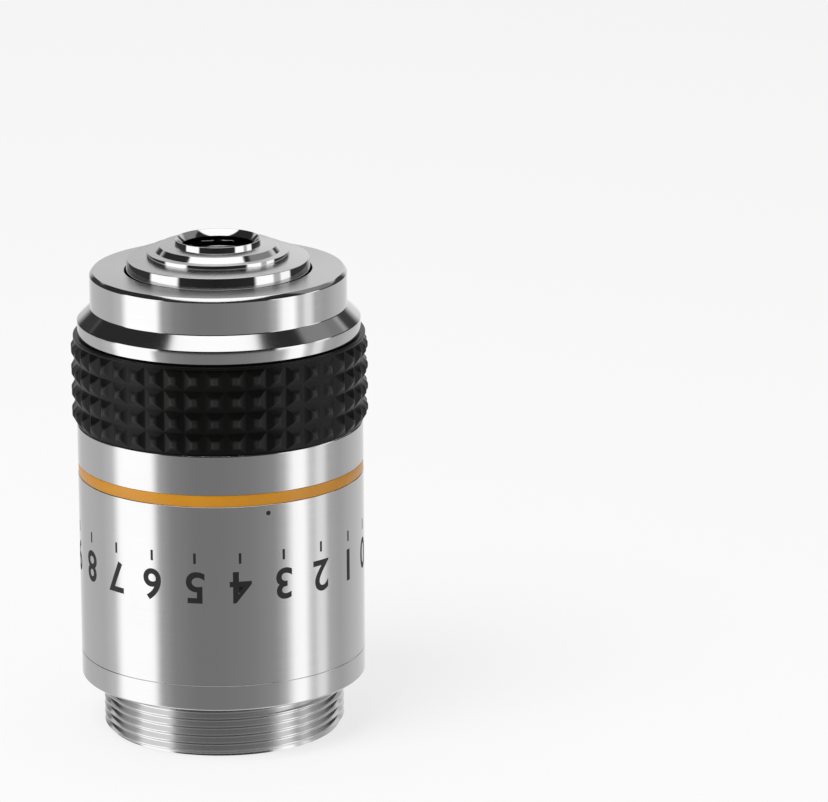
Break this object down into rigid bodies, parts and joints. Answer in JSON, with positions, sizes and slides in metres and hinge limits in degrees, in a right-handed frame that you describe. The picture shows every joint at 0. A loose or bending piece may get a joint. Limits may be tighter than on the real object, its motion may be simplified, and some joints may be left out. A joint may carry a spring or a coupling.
{
  "type": "microscope objective",
  "caption": "Microscope objective, nose up: satin chromed barrel with an orange band, black studded grip ring, stepped polished nose, and its lenses and cells inside.",
  "frame": {"origin": "centre of the mounting shoulder, the face that seats on the microscope", "axes": "+Z along the optical axis, from the shoulder towards the nose; the object stands nose up on the end face of its mounting thread"},
  "size_m": [0.0248, 0.0248, 0.0421],
  "materials": {
    "satin_chrome": "satin, turned",
    "polished_chrome": "polished",
    "black_grip": "black anodised, semi-gloss",
    "band_enamel": "gloss enamel",
    "blackened_brass": "blackened, matte",
    "shim_steel": "plain",
    "lens_glass": "polished, coated"
  },
  "bodies": {
    "root": {"mount_body": "polished_chrome", "barrel_sleeve": "satin_chrome", "colour_band": "band_enamel", "grip_ring": "black_grip", "nose_cap": "polished_chrome", "lens_tube": "polished_chrome", "parfocal_shim": "shim_steel", "tube_lock_ring": "blackened_brass", "front_cell": "polished_chrome", "front_lens": "lens_glass", "second_cell": "blackened_brass", "second_lens": "lens_glass", "spacer_front": "blackened_brass", "doublet_a_cell": "blackened_brass", "doublet_a_crown": "lens_glass", "doublet_a_flint": "lens_glass", "spacer_middle": "blackened_brass", "doublet_b_cell": "blackened_brass", "doublet_b_crown": "lens_glass", "doublet_b_flint": "lens_glass", "spacer_rear": "blackened_brass", "rear_lens_cell": "blackened_brass", "rear_lens": "lens_glass", "aperture_stop": "blackened_brass", "rear_retaining_ring": "blackened_brass"}
  },
  "joints": []
}
